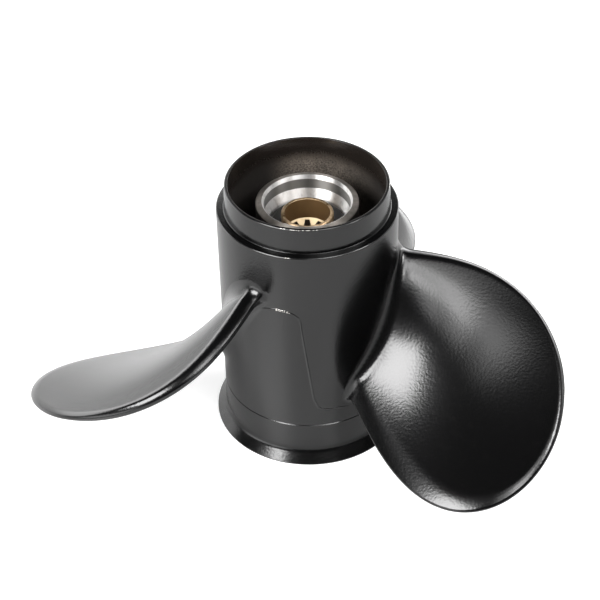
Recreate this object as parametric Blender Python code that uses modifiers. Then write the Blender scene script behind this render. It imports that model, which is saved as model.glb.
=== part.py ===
"""Outboard motor propeller with three right-hand blades.

The barrel, blades, ribs and inner hub are one aluminium casting, painted black. A rubber
bushing pressed into the inner hub holds a splined brass sleeve, which takes the shaft.

Metres, +Z up. The origin is on the shaft axis in the plane of the rear rim, and +Z points
forward, to the gearcase. The propeller stands on its rear rim.
"""

import math

import bmesh
import bpy

MM = 0.001
GAP = 0.3 * MM
ROUND_STEPS = 72

# Blades: a 9.9 inch circle and a screw of 12 inches a turn
BLADE_COUNT = 3
TIP_RADIUS = 125.7 * MM
PITCH = 304.8 * MM
FIRST_BLADE_ANGLE = math.radians(-36.7)
BLADE_HEIGHT = 59.2 * MM
RAKE_SLOPE = -0.312
RAKE_CURL = 1.34
SECTION_CAMBER = 1.97 * MM
HALF_CHORD_ANGLE = math.radians(31.1)
CHORD_SWELL = 0.25
CHORD_TAPER = -0.22
TIP_ROUNDNESS = 2.53
SKEW_ANGLES = [math.radians(angle) for angle in (2.8, 2.2, -4.1, -7.7)]
ROOT_THICKNESS = 7.0 * MM
TIP_THICKNESS = 3.2 * MM
LEADING_EDGE = 4.1 * MM
LEADING_ROOT_EXTRA = 1.8 * MM
ROOT_EXTRA_END = 0.35
TRAILING_EDGE = 1.3 * MM
EDGE_THINS_FROM = 0.74
EDGE_THIN_BY = 0.93
LEADING_TAPER = 4.2 * MM
TRAILING_TAPER = 13.9 * MM
TIP_TAPER = 3.3 * MM
LEADING_CURL = 0.7 * MM
TIP_CURL = 0.35 * MM
ROOT_TWIST = 5.7 * MM
TIP_TWIST = -1.9 * MM
LEADING_BOW = 2.0 * MM
ROOT_FILLET = 6.0 * MM
CHORD_STEPS = 24
FILLET_STEPS = 4
SPAN_STEPS = 24
ROOT_CUTS = 2
ROOT_ROW = -0.999

# Barrel, with the machined spigot in front and the flared ring behind
BARREL_RADIUS = 38.4 * MM
BARREL_BORE = 33.0 * MM
LEDGE_HEIGHT = 111.3 * MM
LEDGE_BEVEL = 0.5 * MM
SPIGOT_TOP = 122.6 * MM
SPIGOT_FOOT_RADIUS = 35.1 * MM
SPIGOT_RIM_RADIUS = 34.5 * MM
SPIGOT_BORE = 33.1 * MM
RIM_ROUND = 0.4 * MM
SEAM_HEIGHT = 19.8 * MM
FLARE_RADIUS = 42.6 * MM
FLARE_LIP = 0.5 * MM
FLARE_BORE = 39.6 * MM
FLARE_ANGLE = math.radians(40)
FLARE_SWEEP = 7.5 * MM
FLARE_STEPS = 6

# Inner hub, bored for the bushing
HUB_RADIUS = 21.8 * MM
HUB_TOP = 113.2 * MM
HUB_CREST_RADIUS = 19.1 * MM
HUB_SHOULDER_DROP = 0.7 * MM
HUB_MOUTH_RADIUS = 18.3 * MM
HUB_MOUTH_HEIGHT = 111.4 * MM
HUB_LEAD_IN_HEIGHT = 106.7 * MM
HUB_BORE = 16.85 * MM
HUB_BORE_HEIGHT = 102.6 * MM
HUB_REAR = 28.0 * MM
HUB_REAR_BEVEL = 1.2 * MM

# Ribs between the inner hub and the barrel, one behind each blade root
RIB_THICKNESS = 5.0 * MM
RIB_BOTTOM = 31.0 * MM
RIB_TOP = 98.0 * MM
RIB_LEAN = math.radians(2.8)

# Rubber bushing and splined sleeve
SLEEVE_RADIUS = 11.1 * MM
SLEEVE_TOP = 107.0 * MM
SLEEVE_BOTTOM = 24.0 * MM
SLEEVE_MOUTH_RADIUS = 9.7 * MM
SLEEVE_BEVEL = 0.35 * MM
SPLINE_TOP = 97.3 * MM
SPLINE_CHAMFER = 2.5 * MM
SPLINE_COUNT = 10
SPLINE_ROOT_RADIUS = 9.1 * MM
SPLINE_TIP_RADIUS = 7.2 * MM
SPLINE_GROOVE_SHARE = 0.34
SPLINE_GROOVE_DRAFT = 0.15
BUSHING_TOP = 102.2 * MM
BUSHING_BOTTOM = 30.0 * MM
BUSHING_ROUND = 1.2 * MM


def clear_scene():
    for item in list(bpy.data.objects):
        bpy.data.objects.remove(item, do_unlink=True)


def new_collection(name):
    collection = bpy.data.collections.new(name)
    bpy.context.scene.collection.children.link(collection)
    return collection


def new_material(name, colour, roughness, metallic):
    material = bpy.data.materials.new(name)
    material.use_nodes = True
    shader = material.node_tree.nodes["Principled BSDF"]
    shader.inputs["Base Color"].default_value = (*colour, 1.0)
    shader.inputs["Roughness"].default_value = roughness
    shader.inputs["Metallic"].default_value = metallic
    return material


def new_object(name, mesh, collection, material=None):
    item = bpy.data.objects.new(name, mesh)
    collection.objects.link(item)
    if material is not None:
        mesh.materials.append(material)
    return item


def shade_round(mesh):
    mesh.shade_smooth()
    mesh.set_sharp_from_angle(angle=math.radians(35))


def turned(name, profile, collection, material, steps=ROUND_STEPS):
    """A turned ring. The closed profile runs down its outer side and up its inner side."""
    mesh = bpy.data.meshes.new(name)
    points = [(radius, 0.0, height) for radius, height in profile]
    edges = [(i, (i + 1) % len(points)) for i in range(len(points))]
    mesh.from_pydata(points, edges, [])
    item = new_object(name, mesh, collection, material)
    screw = item.modifiers.new("turn", "SCREW")
    screw.axis = "Z"
    screw.angle = 2 * math.pi
    screw.steps = steps
    screw.render_steps = steps
    screw.use_merge_vertices = True
    screw.merge_threshold = 0.00001
    screw.use_smooth_shade = True
    return item


def quarter_round(centre, radii, start, end, steps):
    """Points on part of an ellipse, from one angle to another."""
    points = []
    for i in range(steps + 1):
        angle = start + (end - start) * i / steps
        points.append((centre[0] + radii[0] * math.cos(angle), centre[1] + radii[1] * math.sin(angle)))
    return points


def make_front_spigot(collection, material):
    foot = LEDGE_HEIGHT + GAP
    profile = quarter_round(
        (SPIGOT_RIM_RADIUS - RIM_ROUND, SPIGOT_TOP - RIM_ROUND), (RIM_ROUND, RIM_ROUND), math.pi / 2, 0, 3
    )
    profile += [(SPIGOT_FOOT_RADIUS, foot), (SPIGOT_BORE, foot)]
    profile += quarter_round(
        (SPIGOT_BORE + RIM_ROUND, SPIGOT_TOP - RIM_ROUND), (RIM_ROUND, RIM_ROUND), math.pi, math.pi / 2, 3
    )
    return turned("front_spigot", profile, collection, material)


def make_hub_barrel(collection, material):
    bottom = SEAM_HEIGHT + GAP
    profile = quarter_round(
        (BARREL_RADIUS - LEDGE_BEVEL, LEDGE_HEIGHT - LEDGE_BEVEL), (LEDGE_BEVEL, LEDGE_BEVEL), math.pi / 2, 0, 2
    )
    profile += [(BARREL_RADIUS, bottom), (BARREL_BORE, bottom), (BARREL_BORE, LEDGE_HEIGHT)]
    return turned("hub_barrel", profile, collection, material)


def flare_sweep(straight, wide, foot):
    """Down from a straight wall: a hollow arc to the flare's angle, and a cone from there to the foot."""
    cone = wide - straight - FLARE_SWEEP * (1 - math.cos(FLARE_ANGLE))
    start = foot + cone / math.tan(FLARE_ANGLE) + FLARE_SWEEP * math.sin(FLARE_ANGLE)
    radii = (FLARE_SWEEP, FLARE_SWEEP)
    sweep = quarter_round((straight + FLARE_SWEEP, start), radii, math.pi, math.pi + FLARE_ANGLE, FLARE_STEPS)
    return sweep + [(wide, foot)]


def make_diffuser_ring(collection, material):
    """The rear ring: straight at the seam, then swept out to a thin lip, inside as outside."""
    profile = [(BARREL_RADIUS, SEAM_HEIGHT)]
    profile += flare_sweep(BARREL_RADIUS, FLARE_RADIUS, FLARE_LIP)
    profile += [(FLARE_RADIUS, 0.0)]
    profile += flare_sweep(BARREL_BORE, FLARE_BORE, 0.0)[::-1]
    profile += [(BARREL_BORE, SEAM_HEIGHT)]
    return turned("diffuser_ring", profile, collection, material)


def make_inner_hub(collection, material):
    profile = [
        (HUB_CREST_RADIUS, HUB_TOP),
        (HUB_RADIUS, HUB_TOP - HUB_SHOULDER_DROP),
        (HUB_RADIUS, HUB_REAR + HUB_REAR_BEVEL),
        (HUB_RADIUS - HUB_REAR_BEVEL, HUB_REAR),
        (HUB_BORE, HUB_REAR),
        (HUB_BORE, HUB_BORE_HEIGHT),
        (HUB_MOUTH_RADIUS, HUB_LEAD_IN_HEIGHT),
        (HUB_MOUTH_RADIUS, HUB_MOUTH_HEIGHT),
    ]
    return turned("inner_hub", profile, collection, material)


def make_ribs(collection, material):
    """Straight walls between hub and barrel, each with its flat ends a gap off the round walls."""
    half = RIB_THICKNESS / 2
    inner = HUB_RADIUS + GAP
    outer = math.sqrt((BARREL_BORE - GAP) ** 2 - half**2)
    for index in range(BLADE_COUNT):
        mesh = bpy.data.meshes.new(f"rib_{index + 1}")
        work = bmesh.new()
        bmesh.ops.create_cube(work, size=1.0)
        size = (outer - inner, RIB_THICKNESS, RIB_TOP - RIB_BOTTOM)
        bmesh.ops.scale(work, vec=size, verts=work.verts)
        bmesh.ops.translate(work, vec=((inner + outer) / 2, 0, (RIB_TOP + RIB_BOTTOM) / 2), verts=work.verts)
        work.to_mesh(mesh)
        work.free()
        rib = new_object(mesh.name, mesh, collection, material)
        rib.rotation_euler.z = FIRST_BLADE_ANGLE + RIB_LEAN + index * 2 * math.pi / BLADE_COUNT


def fillet_spread(distance):
    """How far a root fillet stands out of the blade's face at a distance from the barrel."""
    if distance >= ROOT_FILLET:
        return 0.0
    return ROOT_FILLET - math.sqrt(ROOT_FILLET**2 - (ROOT_FILLET - distance) ** 2)


def span_radius(step):
    """Radius of each row of the blade: close rows in the fillet, then a round-ended spread to the tip."""
    fillet_top = BARREL_RADIUS + ROOT_FILLET
    if step <= FILLET_STEPS:
        rise = 1 - math.cos(step / FILLET_STEPS * math.pi / 2)
        return BARREL_RADIUS + GAP + (ROOT_FILLET - GAP) * rise
    share = (step - FILLET_STEPS) / (SPAN_STEPS - FILLET_STEPS)
    return fillet_top + (TIP_RADIUS - fillet_top) * math.sin(share * math.pi / 2)


def edge_thickness(chord, share):
    """A leading edge thickest at the root and blunt to the tip, where it thins to the other edges."""
    thinned = min(1.0, max(0.0, (share - EDGE_THINS_FROM) / (EDGE_THIN_BY - EDGE_THINS_FROM)))
    leading = LEADING_EDGE + (TRAILING_EDGE - LEADING_EDGE) * thinned**2 * (3 - 2 * thinned)
    leading += LEADING_ROOT_EXTRA * max(0.0, 1 - share / ROOT_EXTRA_END) ** 2
    return TRAILING_EDGE + (leading - TRAILING_EDGE) * (1 + chord) / 2


def blade_point(chord, step, side):
    """A point of a blade. Chord runs from -1, trailing, to 1, leading, and side from -1, rear, to 1."""
    radius = span_radius(step)
    out = radius - BARREL_RADIUS
    share = out / (TIP_RADIUS - BARREL_RADIUS)
    spread = fillet_spread(out)

    reach = math.sqrt(max(0.0, 1 - share**TIP_ROUNDNESS))
    wide_angle = HALF_CHORD_ANGLE * (1 + CHORD_SWELL * share + CHORD_TAPER * share**2)
    middle = sum(angle * share**power for power, angle in enumerate(SKEW_ANGLES))
    lead = PITCH / (2 * math.pi)
    slant = math.hypot(radius, lead)
    angle = middle + chord * (wide_angle * reach + spread / slant)

    # How far the point is inside the outline, from the slope of the outline's own formula
    across = 2 * chord * reach / (wide_angle * slant)
    along = TIP_ROUNDNESS * share ** (TIP_ROUNDNESS - 1) / (TIP_RADIUS - BARREL_RADIUS)
    inset = (1 - chord**2) * reach**2 / max(0.001, math.hypot(across, along))

    # Shares by which the outline near the point is its tip, leading edge or trailing edge
    tip = along**2 / max(1.0, across**2 + along**2)
    leading = (1 - tip) * (1 + chord) / 2
    trailing = (1 - tip) * (1 - chord) / 2

    taper = TRAILING_TAPER * trailing + LEADING_TAPER * leading + TIP_TAPER * tip
    fullness = 1 - (1 - min(1.0, inset / taper)) ** 2
    edge = edge_thickness(chord, share)
    full = ROOT_THICKNESS + (TIP_THICKNESS - ROOT_THICKNESS) * share
    thickness = edge + (full - edge) * fullness
    nose = min(1.0, inset / (edge / 2))
    round_off = math.sqrt(1 - (1 - nose) ** 2)
    offset = side * round_off * (thickness / 2 + spread)
    curl = LEADING_CURL * leading + TIP_CURL * tip
    offset += curl * fullness * min(1.0, out / ROOT_FILLET)
    bend = (ROOT_TWIST + (TIP_TWIST - ROOT_TWIST) * share + LEADING_BOW * chord) * chord
    offset += bend * (1 - chord**2) * (1 - share**2)

    height = BLADE_HEIGHT + lead * angle + SECTION_CAMBER * angle**2
    height += RAKE_SLOPE * out + RAKE_CURL * out**2
    climb = lead + 2 * SECTION_CAMBER * angle
    length = math.hypot(radius, climb)
    turn = angle - offset * climb / length / radius
    return (radius * math.cos(turn), radius * math.sin(turn), height + offset * radius / length)


def blade_mesh():
    """A slab bent onto the screw surface, with round edges and a root that follows the barrel."""
    work = bmesh.new()
    bmesh.ops.create_grid(work, x_segments=CHORD_STEPS, y_segments=SPAN_STEPS, size=1.0)
    slab = bmesh.ops.extrude_face_region(work, geom=work.faces[:])
    front = [item for item in slab["geom"] if isinstance(item, bmesh.types.BMVert)]
    bmesh.ops.translate(work, vec=(0, 0, 1), verts=front)
    across_root = []
    for edge in work.edges:
        low, high = (vertex.co for vertex in edge.verts)
        if max(low.y, high.y) < ROOT_ROW and abs(high.z - low.z) > 0.5:
            across_root.append(edge)
    bmesh.ops.subdivide_edges(work, edges=across_root, cuts=ROOT_CUTS, use_grid_fill=True)
    for vertex in work.verts:
        chord = math.sin(vertex.co.x * math.pi / 2)
        step = round((vertex.co.y + 1) / 2 * SPAN_STEPS)
        vertex.co = blade_point(chord, step, 2 * vertex.co.z - 1)
    bmesh.ops.remove_doubles(work, verts=work.verts, dist=0.01 * MM)
    bmesh.ops.recalc_face_normals(work, faces=work.faces)
    mesh = bpy.data.meshes.new("blade")
    work.to_mesh(mesh)
    work.free()
    shade_round(mesh)
    return mesh


def make_blades(collection, material):
    mesh = blade_mesh()
    mesh.materials.append(material)
    for index in range(BLADE_COUNT):
        blade = new_object(f"blade_{index + 1}", mesh, collection)
        blade.rotation_euler.z = FIRST_BLADE_ANGLE + index * 2 * math.pi / BLADE_COUNT


def make_rubber_bushing(collection, material):
    outer = HUB_BORE - GAP
    inner = SLEEVE_RADIUS + GAP
    profile = [
        (outer - BUSHING_ROUND, BUSHING_TOP),
        (outer, BUSHING_TOP - BUSHING_ROUND),
        (outer, BUSHING_BOTTOM + BUSHING_ROUND),
        (outer - BUSHING_ROUND, BUSHING_BOTTOM),
        (inner, BUSHING_BOTTOM),
        (inner, BUSHING_TOP),
    ]
    return turned("rubber_bushing", profile, collection, material)


def make_spline_cutter(collection):
    """A toothed bar, as wide as the grooves at its ridges and thinner than the bore between them."""
    pitch = 2 * math.pi / SPLINE_COUNT
    half = pitch * SPLINE_GROOVE_SHARE / 2
    valley = SPLINE_TIP_RADIUS - 0.5 * MM
    offsets = (
        (-half - SPLINE_GROOVE_DRAFT, valley),
        (-half, SPLINE_ROOT_RADIUS),
        (half, SPLINE_ROOT_RADIUS),
        (half + SPLINE_GROOVE_DRAFT, valley),
    )
    bottom = SLEEVE_BOTTOM - 2 * MM
    top = SPLINE_TOP + SPLINE_CHAMFER + 2 * MM
    work = bmesh.new()
    outline = []
    for tooth in range(SPLINE_COUNT):
        centre = math.pi / 2 + tooth * pitch
        for offset, radius in offsets:
            angle = centre + offset
            outline.append(work.verts.new((radius * math.cos(angle), radius * math.sin(angle), bottom)))
    floor = work.faces.new(outline)
    bar = bmesh.ops.extrude_face_region(work, geom=[floor])
    raised = [item for item in bar["geom"] if isinstance(item, bmesh.types.BMVert)]
    bmesh.ops.translate(work, vec=(0, 0, top - bottom), verts=raised)
    bmesh.ops.recalc_face_normals(work, faces=work.faces)
    mesh = bpy.data.meshes.new("spline_cutter")
    work.to_mesh(mesh)
    work.free()
    cutter = new_object("spline_cutter", mesh, collection)
    cutter.hide_render = True
    cutter.display_type = "WIRE"
    return cutter


def make_splined_sleeve(collection, cutters, material):
    profile = [
        (SLEEVE_RADIUS - SLEEVE_BEVEL, SLEEVE_TOP),
        (SLEEVE_RADIUS, SLEEVE_TOP - SLEEVE_BEVEL),
        (SLEEVE_RADIUS, SLEEVE_BOTTOM + SLEEVE_BEVEL),
        (SLEEVE_RADIUS - SLEEVE_BEVEL, SLEEVE_BOTTOM),
        (SPLINE_TIP_RADIUS, SLEEVE_BOTTOM),
        (SPLINE_TIP_RADIUS, SPLINE_TOP - SPLINE_CHAMFER),
        (SLEEVE_MOUTH_RADIUS, SPLINE_TOP),
        (SLEEVE_MOUTH_RADIUS, SLEEVE_TOP),
    ]
    sleeve = turned("splined_sleeve", profile, collection, material)
    cut = sleeve.modifiers.new("splines", "BOOLEAN")
    cut.operation = "DIFFERENCE"
    cut.solver = "EXACT"
    cut.object = make_spline_cutter(cutters)
    return sleeve


def main():
    clear_scene()
    parts = new_collection("propeller")
    cutters = new_collection("cutters")
    paint = new_material("black_paint", (0.016, 0.016, 0.017), 0.32, 0.0)
    bare = new_material("machined_aluminium", (0.62, 0.61, 0.60), 0.3, 1.0)
    rubber = new_material("black_rubber", (0.02, 0.02, 0.02), 0.75, 0.0)
    brass = new_material("sintered_brass", (0.62, 0.40, 0.20), 0.35, 1.0)
    make_front_spigot(parts, paint)
    make_hub_barrel(parts, paint)
    make_diffuser_ring(parts, paint)
    make_inner_hub(parts, bare)
    make_ribs(parts, paint)
    make_blades(parts, paint)
    make_rubber_bushing(parts, rubber)
    make_splined_sleeve(parts, cutters, brass)


main()
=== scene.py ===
import math

import bmesh
import bpy
from mathutils import Matrix, Vector


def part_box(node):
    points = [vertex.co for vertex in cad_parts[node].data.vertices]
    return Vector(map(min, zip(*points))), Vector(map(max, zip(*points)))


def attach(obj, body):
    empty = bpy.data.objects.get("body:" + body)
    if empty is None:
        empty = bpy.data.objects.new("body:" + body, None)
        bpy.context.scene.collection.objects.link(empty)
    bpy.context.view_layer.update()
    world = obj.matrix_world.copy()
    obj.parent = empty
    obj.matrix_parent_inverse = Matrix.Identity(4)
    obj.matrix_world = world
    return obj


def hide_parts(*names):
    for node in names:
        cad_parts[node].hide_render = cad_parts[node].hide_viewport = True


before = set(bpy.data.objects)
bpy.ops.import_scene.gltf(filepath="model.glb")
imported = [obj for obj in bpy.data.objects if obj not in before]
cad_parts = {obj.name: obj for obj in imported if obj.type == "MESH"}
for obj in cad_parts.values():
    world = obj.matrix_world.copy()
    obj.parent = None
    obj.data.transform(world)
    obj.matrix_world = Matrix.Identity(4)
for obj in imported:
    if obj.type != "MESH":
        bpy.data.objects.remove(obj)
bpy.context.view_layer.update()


# Camera: a 91 mm lens two thirds of a metre away, looking down at the front end of the
# propeller. Its tilt and turn come from the circles of the hub and the blades' outlines.
MM = 0.001
DEGREE = math.pi / 180
LENS = 91.1
CAMERA_DISTANCE = 668.8 * MM
CAMERA_ELEVATION = 38.83 * DEGREE
CAMERA_ROLL = -1.10 * DEGREE
CAMERA_TARGET = Vector((-3.8, 0.0, 59.55)) * MM

camera_data = bpy.data.cameras.new("camera")
camera_data.lens = LENS
camera_data.sensor_width = 36
camera = bpy.data.objects.new("camera", camera_data)
bpy.context.scene.collection.objects.link(camera)
bpy.context.scene.camera = camera
look_back = Vector((0, -math.cos(CAMERA_ELEVATION), math.sin(CAMERA_ELEVATION)))
turn = look_back.to_track_quat("Z", "Y") @ Matrix.Rotation(CAMERA_ROLL, 4, "Z").to_quaternion()
camera.rotation_mode = "QUATERNION"
camera.rotation_quaternion = turn
camera.location = CAMERA_TARGET + look_back * CAMERA_DISTANCE


# Hub casting: barrel, machined front spigot and flared rear ring, one hollow turned shape.
# It is die-cast aluminium, sprayed with black enamel. Its bore is left rough from the mould
# behind the spigot, and sharp edges have lost a few chips of enamel down to the metal.
barrel_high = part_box("hub_barrel")[1]
spigot_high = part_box("front_spigot")[1]
ring_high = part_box("diffuser_ring")[1]
BARREL_RADIUS = barrel_high.x
LEDGE_HEIGHT = barrel_high.z
SPIGOT_TOP = spigot_high.z
SPIGOT_FOOT_RADIUS = spigot_high.x
SPIGOT_RIM_RADIUS = 34.5 * MM
SPIGOT_BORE = 33.1 * MM
BORE_RADIUS = 33.0 * MM
SEAM_HEIGHT = ring_high.z
FLARE_RADIUS = ring_high.x
FLARE_LIP = 0.5 * MM
FLARE_BORE = 39.6 * MM
FLARE_ANGLE = 40 * DEGREE
FLARE_SWEEP = 5.2 * MM
FLARE_STEPS = 24
FLARE_END = 0.06 * MM
FOOT_FILLET = 0.35 * MM
SEAM_GROOVE = 0.28 * MM
RIM_CHAMFER = 0.3 * MM
RIM_ROUND = 0.15 * MM
LEDGE_CHAMFER = 0.36 * MM
CHAMFER_SOFT = 0.1 * MM
SOFT_CORNER_ALONG = 0.3
SOFT_CORNER_DOWN = 0.12
TURN_STEPS = 288
TURN_WELD = 0.001 * MM
EDGE_ANGLE = 40 * DEGREE

ENAMEL_BLACK = (0.0011, 0.0011, 0.0012, 1)
ENAMEL_DUSTY = (0.0030, 0.0029, 0.0028, 1)
ENAMEL_ROUGHNESS = 0.19
ENAMEL_IOR = 1.5
DUST_SCALE = 260.0
DUST_FADE = (0.55, 0.75)
PEEL_SCALE = 1020.0
PEEL_HEIGHT = 0.037 * MM
ROUGH_CAST_DARK = (0.011, 0.0088, 0.0074, 1)
ROUGH_CAST_PAINTED_LIT = (0.150, 0.124, 0.100, 1)
ROUGH_CAST_ROUGHNESS = 0.62
ROUGH_CAST_HEIGHTS = (121.0 * MM, 113.5 * MM)
ROUGH_CAST_RADII = (BORE_RADIUS + 0.8 * MM, BORE_RADIUS + 0.3 * MM)
GRIT_SCALE = 1400.0
GRIT_HEIGHT = 0.12 * MM
GRIT_WANDER = 5 * MM
GRIT_SHARE = 0.9
BLOTCH_SCALE = 95.0
BLOTCH_SHARE = 0.3
BORE_LIT_SPECKLE_FADE = (0.35, 0.85)
WANDER_SCALE = 60.0
WANDER_REACH = 3 * MM
CHIP_METAL = (0.55, 0.53, 0.50, 1)
CHIP_ROUGHNESS = 0.38
CHIP_SCALE = 1300.0
CHIP_REACH = 0.26 * MM
CHIP_EDGE = (0.37, 0.41)

# In degrees round the shaft: where the painted light on the bore's back wall starts and ends,
# and the chipped stretches of the spigot's rim and of the ledge
PAINTED_LIGHT_FROM = (15, 92)
PAINTED_LIGHT_TO = (124, 94)
RIM_CHIPS = ((-109, -84), (36, 98), (8, 15), (-9, -4))
LEDGE_CHIPS = ((-105, -102),)


def new_piece(name, work, material, edge_angle=EDGE_ANGLE):
    """Makes the bmesh an object that rides on the one body of the propeller.

    It is shaded smooth but for edges sharper than the edge angle."""
    mesh = bpy.data.meshes.new(name)
    work.to_mesh(mesh)
    work.free()
    mesh.materials.append(material)
    mesh.shade_smooth()
    mesh.set_sharp_from_angle(angle=edge_angle)
    piece = bpy.data.objects.new(name, mesh)
    bpy.context.scene.collection.objects.link(piece)
    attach(piece, "root")
    return piece


def arc(centre, size, start, end, steps):
    """Points along part of a circle in the turning plane."""
    angles = [start + (end - start) * i / steps for i in range(steps + 1)]
    return [(centre[0] + size * math.cos(a), centre[1] + size * math.sin(a)) for a in angles]


def turned(profile):
    """A closed profile of radius and height, spun once round the shaft axis."""
    work = bmesh.new()
    points = [work.verts.new((radius, 0, height)) for radius, height in profile]
    edges = [work.edges.new((points[i - 1], points[i])) for i in range(len(points))]
    bmesh.ops.spin(
        work,
        geom=points + edges,
        cent=(0, 0, 0),
        axis=(0, 0, 1),
        angle=2 * math.pi,
        steps=TURN_STEPS,
        use_merge=True,
    )
    bmesh.ops.remove_doubles(work, verts=work.verts, dist=TURN_WELD)
    bmesh.ops.recalc_face_normals(work, faces=work.faces)
    return work


def add_node(tree, kind, inputs=None, **settings):
    """Adds a shader node. An input that is an output socket is linked, and any other is set."""
    node = tree.nodes.new(kind)
    for key, value in settings.items():
        setattr(node, key, value)
    for key, value in (inputs or {}).items():
        if isinstance(value, bpy.types.NodeSocket):
            tree.links.new(value, node.inputs[key])
        else:
            node.inputs[key].default_value = value
    return node


def maths(tree, operation, first, second=0.0, third=0.0, clamp=False):
    inputs = {0: first, 1: second, 2: third}
    return add_node(tree, "ShaderNodeMath", inputs, operation=operation, use_clamp=clamp).outputs[0]


def fade(tree, value, start, end):
    """0 at the start value and 1 at the end value, smooth between them."""
    inputs = {"Value": value, "From Min": start, "From Max": end}
    return add_node(tree, "ShaderNodeMapRange", inputs, interpolation_type="SMOOTHSTEP").outputs[0]


def within(tree, value, rise, fall):
    """1 between two limits. Each is given as the values at which its fade starts and ends."""
    return maths(tree, "MULTIPLY", fade(tree, value, *rise), fade(tree, value, *fall))


def noise(tree, place, scale, detail=2.0, roughness=0.5):
    inputs = {"Vector": place, "Scale": scale, "Detail": detail, "Roughness": roughness}
    return add_node(tree, "ShaderNodeTexNoise", inputs).outputs[0]


def mix_colour(tree, share, first, second):
    """Goes from the first colour to the second as the share goes from 0 to 1."""
    inputs = {0: share, 6: first, 7: second}
    return add_node(tree, "ShaderNodeMix", inputs, data_type="RGBA").outputs[2]


def mix_value(tree, share, first, second):
    """Goes from the first value to the second as the share goes from 0 to 1."""
    span = maths(tree, "SUBTRACT", second, first)
    return maths(tree, "MULTIPLY_ADD", span, share, first)


def hypotenuse(tree, first, second):
    """The root of the sum of two squares."""
    squares = maths(tree, "MULTIPLY_ADD", first, first, maths(tree, "POWER", second, 2.0))
    return maths(tree, "SQRT", squares)


def shaft_place(tree):
    """The object's own place, and its radius, height and angle in degrees round the shaft."""
    place = add_node(tree, "ShaderNodeTexCoord").outputs["Object"]
    parts = add_node(tree, "ShaderNodeSeparateXYZ", {0: place}).outputs
    radius = hypotenuse(tree, parts["X"], parts["Y"])
    angle = maths(tree, "MULTIPLY", maths(tree, "ARCTAN2", parts["Y"], parts["X"]), 1 / DEGREE)
    return place, radius, parts["Z"], angle


def new_material(name):
    material = bpy.data.materials.new(name)
    material.use_nodes = True
    return material, material.node_tree, material.node_tree.nodes["Principled BSDF"]


def connect(tree, shader, **sockets):
    """Links sockets to the shader's inputs, named in lower case with an underscore for a space."""
    for key, value in sockets.items():
        tree.links.new(value, shader.inputs[key.replace("_", " ").title()])


def bumped(tree, height, unit, base=None):
    """The surface's normal, tilted by a height that is given in units of a length."""
    inputs = {"Strength": 1.0, "Distance": unit, "Height": height}
    if base is not None:
        inputs["Normal"] = base
    return add_node(tree, "ShaderNodeBump", inputs).outputs[0]


def enamel_base(tree, place):
    """Colour and normal of the enamel: black with a trace of dust, and a fine orange peel."""
    paler_share = fade(tree, noise(tree, place, DUST_SCALE, 4.0, 0.7), *DUST_FADE)
    colour = mix_colour(tree, paler_share, ENAMEL_BLACK, ENAMEL_DUSTY)
    normal = bumped(tree, noise(tree, place, PEEL_SCALE, 1.0), PEEL_HEIGHT)
    return colour, normal


def make_enamel():
    """The enamel of the blades and ribs."""
    material, tree, shader = new_material("black_enamel")
    place = shaft_place(tree)[0]
    colour, normal = enamel_base(tree, place)
    shader.inputs["Roughness"].default_value = ENAMEL_ROUGHNESS
    shader.inputs["IOR"].default_value = ENAMEL_IOR
    connect(tree, shader, base_color=colour, normal=normal)
    return material


def edge_chips(tree, place, radius, height, angle, edge, stretches):
    """1 on chips of bare metal along part of a round edge of the given radius and height."""
    off_radius = maths(tree, "SUBTRACT", radius, edge[0])
    off_height = maths(tree, "SUBTRACT", height, edge[1])
    off = hypotenuse(tree, off_radius, off_height)
    flakes = noise(tree, place, CHIP_SCALE, 2.0, 0.6)
    near = maths(tree, "SUBTRACT", 1.0, maths(tree, "DIVIDE", off, CHIP_REACH), clamp=True)
    chip = fade(tree, maths(tree, "MULTIPLY", near, flakes), *CHIP_EDGE)
    chipped = 0.0
    for low, high in stretches:
        inside = within(tree, angle, (low - 1, low + 1), (high + 1, high - 1))
        chipped = maths(tree, "MAXIMUM", chipped, inside)
    return maths(tree, "MULTIPLY", chip, chipped)


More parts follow.
